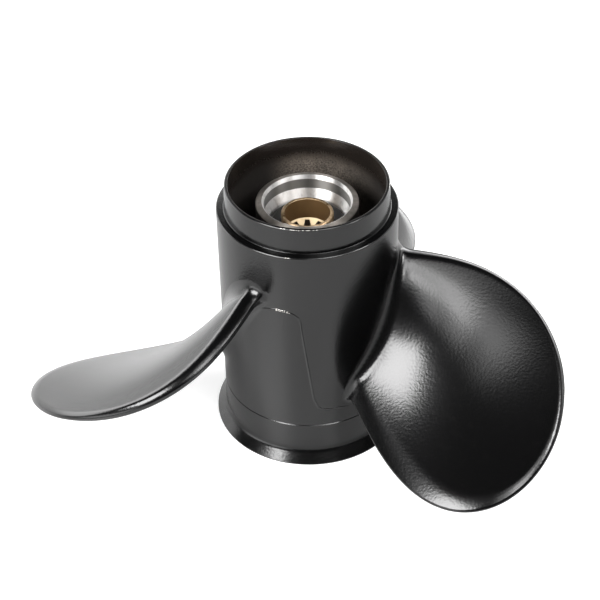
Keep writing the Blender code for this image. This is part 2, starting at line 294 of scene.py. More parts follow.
def make_casting_finish():
    """The hub's enamel, worn at its edges; its rough bore wall has painted light on its back."""
    material, tree, shader = new_material("hub_enamel")
    place, radius, height, angle = shaft_place(tree)
    colour, normal = enamel_base(tree, place)

    # The wall of the bore turns rough at a height that wanders with the noise
    grain = noise(tree, place, GRIT_SCALE, 2.0, 0.6)
    blotch = noise(tree, place, BLOTCH_SCALE, 5.0, 0.62)
    speckle = maths(tree, "MULTIPLY_ADD", grain, GRIT_WANDER, height)
    wander = maths(tree, "MULTIPLY_ADD", noise(tree, place, WANDER_SCALE), WANDER_REACH, speckle)
    below = fade(tree, wander, *ROUGH_CAST_HEIGHTS)
    # Painted light: a paler tone on the back of the bore's wall, where the lamp falls into it
    painted_light_side = within(tree, angle, PAINTED_LIGHT_FROM, PAINTED_LIGHT_TO)
    inside = fade(tree, radius, *ROUGH_CAST_RADII)
    rough_cast = maths(tree, "MULTIPLY", below, inside)
    blotches = maths(tree, "MULTIPLY", blotch, BLOTCH_SHARE)
    tone = maths(tree, "MULTIPLY_ADD", grain, GRIT_SHARE, blotches)
    painted_light_wall = maths(tree, "MULTIPLY", painted_light_side, below)
    paler_share = maths(tree, "MULTIPLY", fade(tree, tone, *BORE_LIT_SPECKLE_FADE), painted_light_wall)
    cast_colour = mix_colour(tree, paler_share, ROUGH_CAST_DARK, ROUGH_CAST_PAINTED_LIT)
    colour = mix_colour(tree, inside, colour, cast_colour)
    grit = bumped(tree, maths(tree, "MULTIPLY", grain, rough_cast), GRIT_HEIGHT, normal)

    rim = (SPIGOT_RIM_RADIUS - RIM_CHAMFER / 2, SPIGOT_TOP - RIM_CHAMFER / 2)
    ledge = (BARREL_RADIUS - LEDGE_CHAMFER / 2, LEDGE_HEIGHT - LEDGE_CHAMFER / 2)
    rim_chips = edge_chips(tree, place, radius, height, angle, rim, RIM_CHIPS)
    ledge_chips = edge_chips(tree, place, radius, height, angle, ledge, LEDGE_CHIPS)
    chips = maths(tree, "MAXIMUM", rim_chips, ledge_chips)
    colour = mix_colour(tree, chips, colour, CHIP_METAL)
    roughness = mix_value(tree, rough_cast, ENAMEL_ROUGHNESS, ROUGH_CAST_ROUGHNESS)
    roughness = mix_value(tree, chips, roughness, CHIP_ROUGHNESS)
    shader.inputs["IOR"].default_value = ENAMEL_IOR
    connect(tree, shader, base_color=colour, roughness=roughness, metallic=chips, normal=grit)
    return material


enamel = make_enamel()
casting_finish = make_casting_finish()


def flare_sweep(straight, wide, foot):
    """Down from a straight wall: a hollow arc to the flare's angle, and a cone to the foot.

    A point just above the foot keeps the cone's shading straight all the way down."""
    cone = wide - straight - FLARE_SWEEP * (1 - math.cos(FLARE_ANGLE))
    start = foot + cone / math.tan(FLARE_ANGLE) + FLARE_SWEEP * math.sin(FLARE_ANGLE)
    centre = (straight + FLARE_SWEEP, start)
    sweep = arc(centre, FLARE_SWEEP, math.pi, math.pi + FLARE_ANGLE, FLARE_STEPS)
    near_foot = (wide - FLARE_END * math.sin(FLARE_ANGLE), foot + FLARE_END * math.cos(FLARE_ANGLE))
    return sweep + [near_foot, (wide, foot)]


def chamfer(radius, height, size):
    """A chamfer of 45 degrees round an outer edge, with both of its corners just broken."""
    soft = CHAMFER_SOFT
    slant = soft * math.sqrt(0.5)
    along = SOFT_CORNER_ALONG * soft
    down = SOFT_CORNER_DOWN * soft
    return [
        (radius - size - soft, height),
        (radius - size - along, height - down),
        (radius - size + slant, height - slant),
        (radius - slant, height - size + slant),
        (radius - down, height - size - along),
        (radius, height - size - soft),
    ]


fillet_centre = (SPIGOT_FOOT_RADIUS + FOOT_FILLET, LEDGE_HEIGHT + FOOT_FILLET)
mouth_centre = (SPIGOT_BORE + RIM_ROUND, SPIGOT_TOP - RIM_ROUND)
profile = chamfer(SPIGOT_RIM_RADIUS, SPIGOT_TOP, RIM_CHAMFER)
profile += arc(fillet_centre, FOOT_FILLET, math.pi, 1.5 * math.pi, 6)
profile += chamfer(BARREL_RADIUS, LEDGE_HEIGHT, LEDGE_CHAMFER)
profile += [
    (BARREL_RADIUS, SEAM_HEIGHT + SEAM_GROOVE),
    (BARREL_RADIUS - SEAM_GROOVE, SEAM_HEIGHT),
    (BARREL_RADIUS, SEAM_HEIGHT - SEAM_GROOVE),
]
profile += flare_sweep(BARREL_RADIUS, FLARE_RADIUS, FLARE_LIP)
profile += [(FLARE_RADIUS, 0.0)]
profile += flare_sweep(BORE_RADIUS, FLARE_BORE, 0.0)[::-1]
profile += [(BORE_RADIUS, LEDGE_HEIGHT)]
profile += arc(mouth_centre, RIM_ROUND, math.pi, math.pi / 2, 8)
hub_casting = new_piece("hub_casting", turned(profile), casting_finish)
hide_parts("front_spigot", "hub_barrel", "diffuser_ring")


# Blades: three alike, a third of a turn apart, cast in one with the hub and painted with it.
# Each is a screw surface with rake and skew, thick at its root and thin at its round edges.
# The fillets along its root narrow towards both ends.
BLADE_COUNT = 3
TIP_RADIUS = 125.65 * MM
LEAD = 304.8 * MM / (2 * math.pi)
FIRST_BLADE_ANGLE = -36.7 * DEGREE
BLADE_HEIGHT = 59.2 * MM
RAKE_SLOPE = -0.312
RAKE_CURL = 1.34
SECTION_CAMBER = 1.97 * MM
HALF_CHORD_ANGLE = 31.1 * DEGREE
CHORD_SWELL = 0.25
CHORD_TAPER = -0.22
TIP_ROUNDNESS = 2.53
SKEW_ANGLES = [angle * DEGREE for angle in (2.8, 2.2, -4.1, -7.7)]
ROOT_THICKNESS = 7.0 * MM
TIP_THICKNESS = 3.2 * MM
LEADING_EDGE = 4.1 * MM
LEADING_ROOT_EXTRA = 1.8 * MM
ROOT_EXTRA_END = 0.35
TRAILING_EDGE = 1.3 * MM
EDGE_THINS_FROM = 0.74
EDGE_THIN_BY = 0.93
LEADING_TAPER = 4.2 * MM
TRAILING_TAPER = 13.9 * MM
TIP_TAPER = 3.3 * MM
LEADING_CURL = 0.7 * MM
TIP_CURL = 0.35 * MM
ROOT_TWIST = 5.7 * MM
TIP_TWIST = -1.9 * MM
LEADING_BOW = 2.0 * MM
ROOT_FILLET = 6.0 * MM
END_FILLET = 2.2 * MM
ROOT_REACH = 5.0 * MM
TRAILING_DROOP = 3.0 * MM
ROOT_SINK = 0.05 * MM
CHORD_STEPS = 96
FILLET_STEPS = 14
SPAN_STEPS = 96
BLADE_WELD = 0.002 * MM
LEAST_SLOPE = 0.001


def fillet_spread(distance, fillet):
    """How far a root fillet of a given size stands out at a distance from the barrel."""
    inward = fillet - min(fillet, max(0.0, distance))
    return fillet - math.sqrt(fillet**2 - inward**2)


def span_radius(step):
    """Radius of each row: close rows in the fillet, then a round-ended spread to the tip."""
    fillet_top = BARREL_RADIUS + ROOT_FILLET
    if step <= FILLET_STEPS:
        rise = 1 - math.cos(step / FILLET_STEPS * math.pi / 2)
        return BARREL_RADIUS - ROOT_SINK + (ROOT_FILLET + ROOT_SINK) * rise
    share = (step - FILLET_STEPS) / (SPAN_STEPS - FILLET_STEPS)
    return fillet_top + (TIP_RADIUS - fillet_top) * math.sin(share * math.pi / 2)


def edge_thickness(chord, share):
    """A leading edge thickest at the root and blunt outwards, that thins towards the tip."""
    thinned = min(1.0, max(0.0, (share - EDGE_THINS_FROM) / (EDGE_THIN_BY - EDGE_THINS_FROM)))
    leading = LEADING_EDGE + (TRAILING_EDGE - LEADING_EDGE) * thinned**2 * (3 - 2 * thinned)
    leading += LEADING_ROOT_EXTRA * max(0.0, 1 - share / ROOT_EXTRA_END) ** 2
    return TRAILING_EDGE + (leading - TRAILING_EDGE) * (1 + chord) / 2


def blade_point(chord, step, side):
    """Chord runs from -1, the trailing edge, to 1, and side is 1 in front and -1 behind."""
    radius = span_radius(step)
    out = max(0.0, radius - BARREL_RADIUS)
    share = out / (TIP_RADIUS - BARREL_RADIUS)
    spread = fillet_spread(out, ROOT_FILLET + (END_FILLET - ROOT_FILLET) * abs(chord) ** 3)
    foot = fillet_spread(out, ROOT_FILLET) / ROOT_FILLET
    reach = math.sqrt(max(0.0, 1 - share**TIP_ROUNDNESS))
    wide_angle = HALF_CHORD_ANGLE * (1 + CHORD_SWELL * share + CHORD_TAPER * share**2)
    middle = sum(angle * share**power for power, angle in enumerate(SKEW_ANGLES))
    slant = math.hypot(radius, LEAD)
    angle = middle + chord * (wide_angle * reach + ROOT_REACH * foot / slant)

    # How far the point is inside the outline, from the slope of the outline's own formula
    across = 2 * chord * reach / (wide_angle * slant)
    along = TIP_ROUNDNESS * share ** (TIP_ROUNDNESS - 1) / (TIP_RADIUS - BARREL_RADIUS)
    inset = (1 - chord**2) * reach**2 / max(LEAST_SLOPE, math.hypot(across, along))

    # Shares by which the outline near the point is its tip, leading edge or trailing edge
    tip = along**2 / max(1.0, across**2 + along**2)
    leading = (1 - tip) * (1 + chord) / 2
    trailing = (1 - tip) * (1 - chord) / 2

    taper = TRAILING_TAPER * trailing + LEADING_TAPER * leading + TIP_TAPER * tip
    fullness = 1 - (1 - min(1.0, inset / taper)) ** 2
    edge = edge_thickness(chord, share)
    full = ROOT_THICKNESS + (TIP_THICKNESS - ROOT_THICKNESS) * share
    thickness = edge + (full - edge) * fullness
    nose = min(1.0, inset / (edge / 2))
    offset = side * math.sqrt(1 - (1 - nose) ** 2) * (thickness / 2 + spread)
    curl = LEADING_CURL * leading + TIP_CURL * tip
    offset += curl * fullness * min(1.0, out / ROOT_FILLET)
    bend = (ROOT_TWIST + (TIP_TWIST - ROOT_TWIST) * share + LEADING_BOW * chord) * chord
    offset += bend * (1 - chord**2) * (1 - share**2)
    offset -= TRAILING_DROOP * foot * ((1 - chord) / 2) ** 3

    height = BLADE_HEIGHT + LEAD * angle + SECTION_CAMBER * angle**2
    height += RAKE_SLOPE * out + RAKE_CURL * out**2
    climb = LEAD + 2 * SECTION_CAMBER * angle
    length = math.hypot(radius, climb)
    turned_angle = angle - offset * climb / length / radius
    x = radius * math.cos(turned_angle)
    y = radius * math.sin(turned_angle)
    return x, y, height + offset * radius / length


for number in range(BLADE_COUNT):
    work = bmesh.new()
    bmesh.ops.create_grid(work, x_segments=CHORD_STEPS, y_segments=SPAN_STEPS, size=1.0)
    slab = bmesh.ops.extrude_face_region(work, geom=work.faces[:])
    front = [item for item in slab["geom"] if isinstance(item, bmesh.types.BMVert)]
    bmesh.ops.translate(work, vec=(0, 0, 1), verts=front)
    for vertex in work.verts:
        chord = math.sin(vertex.co.x * math.pi / 2)
        step = round((vertex.co.y + 1) / 2 * SPAN_STEPS)
        vertex.co = blade_point(chord, step, 2 * vertex.co.z - 1)
    bmesh.ops.remove_doubles(work, verts=work.verts, dist=BLADE_WELD)
    bmesh.ops.recalc_face_normals(work, faces=work.faces)
    angle = FIRST_BLADE_ANGLE + number * 2 * math.pi / BLADE_COUNT
    bmesh.ops.rotate(work, cent=(0, 0, 0), matrix=Matrix.Rotation(angle, 3, "Z"), verts=work.verts)
    blade = new_piece(f"cast_blade_{number + 1}", work, enamel)
    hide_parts(f"blade_{number + 1}")


# Parting lines: where the halves of the mould met, on the barrel between neighbouring blades
# and along each leading edge. The flash is dressed off to a thin raised line and painted over.
LINE_WIDTH = 0.8 * MM
LINE_HEIGHT = 0.22 * MM
LINE_LEAN = 0.7
LINE_RUN_OUT = 12.0
LINE_STEPS = 160
LINE_FACETS = 12
LINE_WELD = 0.004 * MM
LINE_EDGE_ANGLE = 60 * DEGREE
SMALL_SHARE = 0.002
LEAN_TURNS_BY = 20.0
LEAN_TURNS_AT = 0.36

# Places on the first barrel line, in degrees round the shaft and millimetres above the rear rim
BARREL_LINE = (
    (-122.5, 81.9), (-115, 83.3), (-108, 83.5), (-102, 82.9), (-98, 81.2), (-96, 79.1),
    (-94.9, 71.8), (-93.3, 62.6), (-91, 50.7), (-89.2, 41.1), (-88, 35.3), (-86.7, 33.0),
    (-84.8, 30.3), (-82, 29.2), (-77, 28.4), (-70, 28.3), (-64, 27.6),
)
EDGE_LINE_START = 0.4 * FILLET_STEPS
EDGE_LINE_END = 0.78 * SPAN_STEPS
NEAR_NOSE = 0.985
FLECK_SCALE = 2000.0
FLECK_FADE = (0.50, 0.54)
FLECK_ROUGHNESS = 0.4
FLECKS_FROM = (-111.5, -111.0)
FLECKS_TO = (-102, -102.5)
FLECK_HEIGHTS = (81 * MM, 82 * MM)


def between(points, share):
    """A place on a smooth curve through the points, for a share from 0 to 1."""
    reach = share * (len(points) - 1)
    index = min(int(reach), len(points) - 2)
    t = reach - index
    a, b, c, d = (Vector(points[min(max(index + k, 0), len(points) - 1)]) for k in (-1, 0, 1, 2))
    square = 2 * a - 5 * b + 4 * c - d
    cube = 3 * b - a - 3 * c + d
    return 0.5 * (2 * b + (c - a) * t + square * t**2 + cube * t**3)


def on_barrel(share):
    """A place on the barrel's line, with the direction straight out from the surface."""
    degrees, height = between(BARREL_LINE, share)
    outward = Vector((math.cos(degrees * DEGREE), math.sin(degrees * DEGREE), 0))
    return outward * BARREL_RADIUS + Vector((0, 0, height * MM)), outward


def on_leading_edge(share):
    """A place on the leading edge of the first blade, with the direction out of its nose."""
    step = EDGE_LINE_START + (EDGE_LINE_END - EDGE_LINE_START) * share
    nose = Vector(blade_point(1.0, step, 0))
    return nose, (nose - Vector(blade_point(NEAR_NOSE, step, 0))).normalized()


def raised_line(name, place_at, turn_by, material, lean_turns_at=0.0):
    """A thin bead, half sunk in the surface and leaning to one side, that runs out at both ends.

    It leans to the other side up to the share of its length at which the lean turns."""
    work = bmesh.new()
    bmesh.ops.create_grid(work, x_segments=LINE_STEPS, y_segments=LINE_FACETS, size=1.0)
    for vertex in work.verts:
        share = (vertex.co.x + 1) / 2
        place, outward = place_at(share)
        ahead = place_at(min(1.0, share + SMALL_SHARE))[0]
        behind = place_at(max(0.0, share - SMALL_SHARE))[0]
        sideways = (ahead - behind).cross(outward).normalized()
        taper = min(1.0, math.sqrt(max(0.0, LINE_RUN_OUT * share * (1 - share))))
        around = vertex.co.y * math.pi
        lean = LINE_LEAN * max(-1.0, min(1.0, LEAN_TURNS_BY * (share - lean_turns_at)))
        aside = (math.cos(around) - lean * math.sin(around)) * LINE_WIDTH / 2
        off = sideways * aside + outward * math.sin(around) * LINE_HEIGHT
        vertex.co = place + off * taper
    bmesh.ops.remove_doubles(work, verts=work.verts, dist=LINE_WELD)
    bmesh.ops.recalc_face_normals(work, faces=work.faces)
    rotation = Matrix.Rotation(turn_by, 3, "Z")
    bmesh.ops.rotate(work, cent=(0, 0, 0), matrix=rotation, verts=work.verts)
    new_piece(name, work, material, LINE_EDGE_ANGLE)


def make_line_finish():
    """The enamel of the lines, with a few flecks rubbed through to the metal on one of them."""
    material, tree, shader = new_material("line_enamel")
    place, _, height, angle = shaft_place(tree)
    colour, normal = enamel_base(tree, place)
    stretch = within(tree, angle, FLECKS_FROM, FLECKS_TO)
    rubbed = maths(tree, "MULTIPLY", stretch, fade(tree, height, *FLECK_HEIGHTS))
    fleck = fade(tree, noise(tree, place, FLECK_SCALE, 1.0), *FLECK_FADE)
    fleck = maths(tree, "MULTIPLY", fleck, rubbed)
    roughness = mix_value(tree, fleck, ENAMEL_ROUGHNESS, FLECK_ROUGHNESS)
    colour = mix_colour(tree, fleck, colour, CHIP_METAL)
    connect(tree, shader, base_color=colour, roughness=roughness, metallic=fleck, normal=normal)
    return material


line_finish = make_line_finish()
for number in range(BLADE_COUNT):
    turn_by = number * 2 * math.pi / BLADE_COUNT
    raised_line(f"barrel_parting_line_{number + 1}", on_barrel, turn_by, line_finish, LEAN_TURNS_AT)
    turn_by += FIRST_BLADE_ANGLE
    raised_line(f"edge_parting_line_{number + 1}", on_leading_edge, turn_by, line_finish)


# Inner hub: the tube in the middle of the casting, bored out for the bushing. Its crest, its
# lead-in cone and its bore are turned bright, and its outside is left as cast under the enamel.
hub_low, hub_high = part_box("inner_hub")
HUB_RADIUS = hub_high.x
HUB_TOP = hub_high.z
HUB_REAR = hub_low.z
HUB_CREST_RADIUS = 19.1 * MM
HUB_SHOULDER_DROP = 0.7 * MM
HUB_SHOULDER_ROUND = 0.3 * MM
HUB_SHOULDER_LIP = 0.05 * MM
HUB_CREST_FLAT = 0.12 * MM
HUB_MOUTH_RADIUS = 18.3 * MM
HUB_MOUTH_HEIGHT = 111.4 * MM
HUB_LEAD_IN_HEIGHT = 106.7 * MM
HUB_BORE = 16.85 * MM
HUB_BORE_HEIGHT = 102.6 * MM
HUB_REAR_BEVEL = 1.2 * MM
HUB_EDGE_ANGLE = 12 * DEGREE
TURNED_METAL = (0.80, 0.79, 0.78, 1)
TURNED_GREY = (0.52, 0.50, 0.48, 1)
BORED_METAL = (0.24, 0.235, 0.225, 1)
DULL_METAL = (0.24, 0.22, 0.20, 1)
DULL_METAL_WORN = (0.34, 0.31, 0.28, 1)
DULL_ROUGHNESS = 0.5
TURNED_ROUGHNESS = 0.45
TURNED_GRAIN = 0.9
TURNED_GRAIN_TURN = 0.25
MARK_SCALE = 9000.0
MARK_DEPTH = 0.002 * MM
STREAK_SCALE = 500.0
STREAK_STRETCH = (1.0, 1.0, 0.4)
STREAK_FADE = (0.45, 0.85)
STAIN_SCALE = 300.0
STAIN_FADE = (0.3, 0.7)
SKIN_SCALE = 900.0
SKIN_HEIGHT = 0.1 * MM

# Where its finishes change: the heights of the bored wall, the radius of the shoulder and the
# height of the enamel outside
BORED_FROM = (HUB_LEAD_IN_HEIGHT, HUB_LEAD_IN_HEIGHT + 0.15 * MM)
BORED_TO = (HUB_MOUTH_HEIGHT + 0.1 * MM, HUB_MOUTH_HEIGHT - 0.1 * MM)
SHOULDER_FADE = (HUB_CREST_RADIUS - 0.1 * MM, HUB_CREST_RADIUS + 0.1 * MM)
OUTSIDE_FADE = (HUB_TOP - 0.85 * MM, HUB_TOP - 1.1 * MM)


def make_turned_aluminium():
    """Bright at the mouth with fine marks of the tool, dull on the shoulder, black outside."""
    material, tree, shader = new_material("turned_aluminium")
    place, radius, height, _ = shaft_place(tree)
    ring = {"X": radius, "Y": height, "Z": 0.0}
    round_place = add_node(tree, "ShaderNodeCombineXYZ", ring).outputs[0]
    stretch = {0: place, 1: STREAK_STRETCH}
    streak_place = add_node(tree, "ShaderNodeVectorMath", stretch, operation="MULTIPLY").outputs[0]
    marks = noise(tree, round_place, MARK_SCALE)
    streaks = noise(tree, streak_place, STREAK_SCALE, 3.0, 0.6)
    stain = noise(tree, place, STAIN_SCALE, 4.0, 0.6)
    skin = noise(tree, place, SKIN_SCALE, 3.0, 0.7)

    colour = mix_colour(tree, fade(tree, streaks, *STREAK_FADE), TURNED_METAL, TURNED_GREY)
    bored = within(tree, height, BORED_FROM, BORED_TO)
    colour = mix_colour(tree, bored, colour, BORED_METAL)
    shoulder = fade(tree, radius, *SHOULDER_FADE)
    dull = mix_colour(tree, fade(tree, stain, *STAIN_FADE), DULL_METAL, DULL_METAL_WORN)
    colour = mix_colour(tree, shoulder, colour, dull)
    outside = maths(tree, "MULTIPLY", shoulder, fade(tree, height, *OUTSIDE_FADE))
    black = mix_colour(tree, stain, ROUGH_CAST_DARK, ENAMEL_BLACK)
    colour = mix_colour(tree, outside, colour, black)

    roughness = mix_value(tree, shoulder, TURNED_ROUGHNESS, DULL_ROUGHNESS)
    metal = maths(tree, "SUBTRACT", 1.0, outside)
    normal = bumped(tree, maths(tree, "MULTIPLY", marks, metal), MARK_DEPTH)
    normal = bumped(tree, maths(tree, "MULTIPLY", skin, outside), SKIN_HEIGHT, normal)
    tangent = add_node(tree, "ShaderNodeTangent", direction_type="RADIAL", axis="Z").outputs[0]
    shader.inputs["Anisotropic"].default_value = TURNED_GRAIN
    shader.inputs["Anisotropic Rotation"].default_value = TURNED_GRAIN_TURN
    connect(tree, shader, base_color=colour, roughness=roughness, metallic=metal)
    connect(tree, shader, normal=normal, tangent=tangent)
    return material


shoulder_radius = HUB_RADIUS - HUB_SHOULDER_ROUND
shoulder_height = HUB_TOP - HUB_SHOULDER_DROP
shoulder_centre = (shoulder_radius, shoulder_height - HUB_SHOULDER_ROUND)
profile = [(HUB_CREST_RADIUS, HUB_TOP), (shoulder_radius, shoulder_height + HUB_SHOULDER_LIP)]
profile += arc(shoulder_centre, HUB_SHOULDER_ROUND, math.pi / 3, 0, 3)
profile += [
    (HUB_RADIUS, HUB_REAR + HUB_REAR_BEVEL),
    (HUB_RADIUS - HUB_REAR_BEVEL, HUB_REAR),
    (HUB_BORE, HUB_REAR),
    (HUB_BORE, HUB_BORE_HEIGHT),
    (HUB_MOUTH_RADIUS, HUB_LEAD_IN_HEIGHT),
    (HUB_MOUTH_RADIUS, HUB_MOUTH_HEIGHT),
    (HUB_CREST_RADIUS - HUB_CREST_FLAT, HUB_TOP - HUB_CREST_FLAT / 3),
]
inner_hub = new_piece(
    "bored_inner_hub",
    turned(profile),
    make_turned_aluminium(),
    HUB_EDGE_ANGLE,
)
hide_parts("inner_hub")


# Ribs: three cast walls that carry the inner hub inside the barrel, one behind each blade.
# They are cast in one with both, as thick as the blade roots, and painted over.
RIB_THICKNESS = 5.0 * MM
RIB_LEAN = 2.8 * DEGREE
RIB_ROUND = 1.6 * MM
RIB_ROUND_STEPS = 5
RIB_SINK = 0.1 * MM
RIB_HUB_SINK = 0.15 * MM
rib_low, rib_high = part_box("rib_1")

for number in range(BLADE_COUNT):
    inner = HUB_RADIUS - RIB_HUB_SINK
    outer = math.sqrt((BORE_RADIUS + RIB_SINK) ** 2 - (RIB_THICKNESS / 2) ** 2)
    work = bmesh.new()
    bmesh.ops.create_cube(work, size=1.0)
    size = (outer - inner, RIB_THICKNESS, rib_high.z - rib_low.z)
    bmesh.ops.scale(work, vec=size, verts=work.verts)
    middle = ((inner + outer) / 2, 0, (rib_high.z + rib_low.z) / 2)
    bmesh.ops.translate(work, vec=middle, verts=work.verts)
    long_edges = [edge for edge in work.edges if abs(edge.verts[0].co.x - edge.verts[1].co.x) > MM]
    bmesh.ops.bevel(
        work,
        geom=long_edges,
        offset=RIB_ROUND,
        affect="EDGES",
        segments=RIB_ROUND_STEPS,
        profile=0.5,
        material=-1,
    )
    angle = FIRST_BLADE_ANGLE + RIB_LEAN + number * 2 * math.pi / BLADE_COUNT
    bmesh.ops.rotate(work, cent=(0, 0, 0), matrix=Matrix.Rotation(angle, 3, "Z"), verts=work.verts)
    rib = new_piece(f"cast_rib_{number + 1}", work, enamel)
    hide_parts(f"rib_{number + 1}")


# Rubber bushing: a thick black rubber sleeve, pressed into the inner hub and round the brass.
# It gives when the propeller strikes something. Its end faces are moulded a little hollow.
bushing_low, bushing_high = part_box("rubber_bushing")
BUSHING_TOP = bushing_high.z
BUSHING_BOTTOM = bushing_low.z
BUSHING_OUTER = bushing_high.x
BUSHING_INNER = 11.25 * MM
BUSHING_ROUND = 1.2 * MM
BUSHING_HOLLOW = 0.5 * MM
HOLLOW_STEPS = 10
RUBBER_BLACK = (0.012, 0.0115, 0.011, 1)
RUBBER_BLOOM = (0.028, 0.026, 0.024, 1)
BLOOM_SCALE = 350.0
BLOOM_FADE = (0.35, 0.75)
RUBBER_ROUGHNESS = (0.42, 0.6)
RUBBER_GRAIN_SCALE = 1400.0
RUBBER_GRAIN_HEIGHT = 0.03 * MM


def make_rubber():
    """Black rubber with a grey bloom in patches, and a fine grain from its mould."""
    material, tree, shader = new_material("moulded_rubber")
    place = shaft_place(tree)[0]
    bloom = noise(tree, place, BLOOM_SCALE, 5.0, 0.65)
    colour = mix_colour(tree, fade(tree, bloom, *BLOOM_FADE), RUBBER_BLACK, RUBBER_BLOOM)
    roughness = mix_value(tree, bloom, *RUBBER_ROUGHNESS)
    normal = bumped(tree, noise(tree, place, RUBBER_GRAIN_SCALE, 3.0), RUBBER_GRAIN_HEIGHT)
    connect(tree, shader, base_color=colour, roughness=roughness, normal=normal)
    return material


def bushing_end(level, sign):
    """One end of the bushing, from its outer edge to its bore, with a hollow between them."""
    points = []
    edge = BUSHING_OUTER - BUSHING_ROUND
    for i in range(HOLLOW_STEPS + 1):
        share = i / HOLLOW_STEPS
        radius = edge + (BUSHING_INNER - edge) * share
        points.append((radius, level - sign * BUSHING_HOLLOW * math.sin(share * math.pi)))
    return points


bottom_centre = (BUSHING_OUTER - BUSHING_ROUND, BUSHING_BOTTOM + BUSHING_ROUND)
top_centre = (BUSHING_OUTER - BUSHING_ROUND, BUSHING_TOP - BUSHING_ROUND)
profile = arc(bottom_centre, BUSHING_ROUND, 0, -math.pi / 2, 5)
profile += bushing_end(BUSHING_BOTTOM, -1)[1:]
profile += bushing_end(BUSHING_TOP, 1)[::-1]
profile += arc(top_centre, BUSHING_ROUND, math.pi / 2, 0, 5)[1:]
bushing = new_piece("moulded_bushing", turned(profile), make_rubber())
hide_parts("rubber_bushing")


# Splined sleeve: sintered brass, turned on its end and in its mouth. Ten grooves run through
# it below a shoulder of 45 degrees, and the rubber is bonded to its outside.
sleeve_low, sleeve_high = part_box("splined_sleeve")
SLEEVE_TOP = sleeve_high.z
SLEEVE_BOTTOM = sleeve_low.z
SLEEVE_RADIUS = sleeve_high.x
SLEEVE_MOUTH_RADIUS = 9.7 * MM
SLEEVE_MOUTH_ROUND = 0.25 * MM
SLEEVE_BEVEL = 0.35 * MM
SLEEVE_EDGE_ANGLE = 25 * DEGREE
SPLINE_TOP = 97.3 * MM
SPLINE_CHAMFER = 2.5 * MM
SPLINE_COUNT = 10
SPLINE_ROOT_RADIUS = 9.1 * MM
SPLINE_TIP_RADIUS = 7.2 * MM
SPLINE_GROOVE_SHARE = 0.34
SPLINE_GROOVE_DRAFT = 0.15
BAR_VALLEY_DEPTH = 0.5 * MM
BAR_PAST_REAR = 1.0 * MM
BAR_PAST_TOP = 2.0 * MM
BRASS = (0.68, 0.50, 0.31, 1)
BRASS_DARK = (0.115, 0.064, 0.023, 1)
GROOVE_PAINTED_SHADE = (0.02, 0.012, 0.006, 1)
BRASS_BRIGHT = (0.62, 0.50, 0.33, 1)
BRASS_ROUGHNESS = 0.3
BORE_ROUGHNESS_EXTRA = 0.22
BORE_METAL_LOSS = 0.45
PORE_SCALE = 1600.0
PORE_DEPTH = 0.012 * MM
PORE_ROUGHNESS = 0.2
BRASS_STAIN_SCALE = 260.0
BRASS_STAIN_FADE = (0.3, 0.75)

# Where its finishes change: the radius and height at which the brown bore starts, the heights
# of the bright shoulder, and how far behind the shoulder's cone the grooves' painted shade starts
BORE_RADIUS_FADE = (SLEEVE_MOUTH_RADIUS + 0.3 * MM, SLEEVE_MOUTH_RADIUS + 0.05 * MM)
BORE_HEIGHT_FADE = (SLEEVE_TOP - 0.1 * MM, SLEEVE_TOP - 0.4 * MM)
SPLINE_SHOULDER_FOOT = SPLINE_TOP - SPLINE_CHAMFER
SPLINE_SHOULDER_TOP_FADE = (SPLINE_TOP + 0.05 * MM, SPLINE_TOP - 0.05 * MM)
SPLINE_SHOULDER_FOOT_FADE = (SPLINE_SHOULDER_FOOT, SPLINE_SHOULDER_FOOT + 0.1 * MM)
GROOVE_TOP_FADE = (SPLINE_TOP, SPLINE_TOP - 0.1 * MM)
GROOVE_FADE = (0.05 * MM, 0.3 * MM)


def make_brass():
    """Tan on the turned end, deep brown in the bore and bright on the cut shoulder."""
    material, tree, shader = new_material("sintered_brass")
    place, radius, height, _ = shaft_place(tree)
    pores = noise(tree, place, PORE_SCALE, 4.0, 0.7)
    stain = noise(tree, place, BRASS_STAIN_SCALE, 4.0, 0.6)
    colour = mix_colour(tree, fade(tree, stain, *BRASS_STAIN_FADE), BRASS, BRASS_DARK)
    in_mouth = fade(tree, radius, *BORE_RADIUS_FADE)
    below_end = fade(tree, height, *BORE_HEIGHT_FADE)
    in_bore = maths(tree, "MULTIPLY", in_mouth, below_end)
    colour = mix_colour(tree, in_bore, colour, BRASS_DARK)
    shoulder = within(tree, height, SPLINE_SHOULDER_TOP_FADE, SPLINE_SHOULDER_FOOT_FADE)
    colour = mix_colour(tree, shoulder, colour, BRASS_BRIGHT)
    # Painted shade: the walls of the deep grooves are made near black and lose their metal
    slope = maths(tree, "SUBTRACT", radius, height)
    behind = maths(tree, "SUBTRACT", slope, SLEEVE_MOUTH_RADIUS - SPLINE_TOP)
    below_mouth = fade(tree, height, *GROOVE_TOP_FADE)
    groove_shade = maths(tree, "MULTIPLY", fade(tree, behind, *GROOVE_FADE), below_mouth)
    colour = mix_colour(tree, groove_shade, colour, GROOVE_PAINTED_SHADE)
    metal = maths(tree, "MULTIPLY_ADD", in_bore, -BORE_METAL_LOSS, 1.0)
    metal = maths(tree, "MAXIMUM", metal, shoulder)
    metal = maths(tree, "MULTIPLY", metal, maths(tree, "SUBTRACT", 1.0, groove_shade))
    roughness = maths(tree, "MULTIPLY_ADD", in_bore, BORE_ROUGHNESS_EXTRA, BRASS_ROUGHNESS)
    roughness = maths(tree, "MULTIPLY_ADD", pores, PORE_ROUGHNESS, roughness)
    normal = bumped(tree, pores, PORE_DEPTH)
    connect(tree, shader, base_color=colour, roughness=roughness, metallic=metal, normal=normal)
    return material


